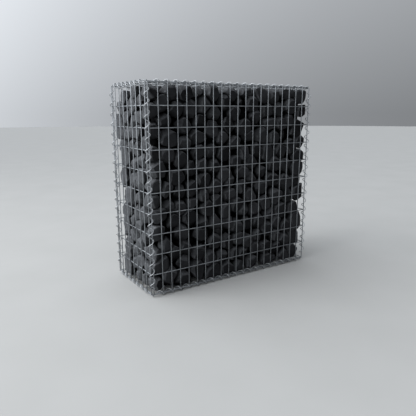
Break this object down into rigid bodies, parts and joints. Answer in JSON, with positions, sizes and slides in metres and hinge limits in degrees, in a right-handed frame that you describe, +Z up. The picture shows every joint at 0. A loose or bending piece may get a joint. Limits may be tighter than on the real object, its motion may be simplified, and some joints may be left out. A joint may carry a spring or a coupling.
{
  "type": "gabion wall",
  "caption": "Free-standing gabion: a rectangular basket of flat welded-mesh panels laced along every edge by wire helices and filled with broken dark stone.",
  "frame": {"origin": "on the ground under the middle of the basket", "axes": "+X along the wall to the right as seen from the front, +Y from the front face to the back face, +Z up"},
  "size_m": [1.0418, 0.4374, 1.0317],
  "materials": {
    "mesh_zinc": "galvanised wire, dull grey",
    "binder_zinc": "galvanised wire, brighter than the mesh",
    "dark_stone": "broken anthracite basalt, matt"
  },
  "bodies": {
    "root": {"back_mesh": "mesh_zinc", "base_mesh": "mesh_zinc", "binder_back_left": "binder_zinc", "binder_back_right": "binder_zinc", "binder_base_back": "binder_zinc", "binder_base_front": "binder_zinc", "binder_base_left": "binder_zinc", "binder_base_right": "binder_zinc", "binder_front_left": "binder_zinc", "binder_front_right": "binder_zinc", "binder_lid_back": "binder_zinc", "binder_lid_front": "binder_zinc", "binder_lid_left": "binder_zinc", "binder_lid_right": "binder_zinc", "front_mesh": "mesh_zinc", "left_end_mesh": "mesh_zinc", "lid_mesh": "mesh_zinc", "right_end_mesh": "mesh_zinc", "stone_course_01": "dark_stone", "stone_course_02": "dark_stone", "stone_course_03": "dark_stone", "stone_course_04": "dark_stone", "stone_course_05": "dark_stone", "stone_course_06": "dark_stone", "stone_course_07": "dark_stone", "stone_course_08": "dark_stone", "stone_course_09": "dark_stone", "stone_course_10": "dark_stone"}
  },
  "joints": []
}
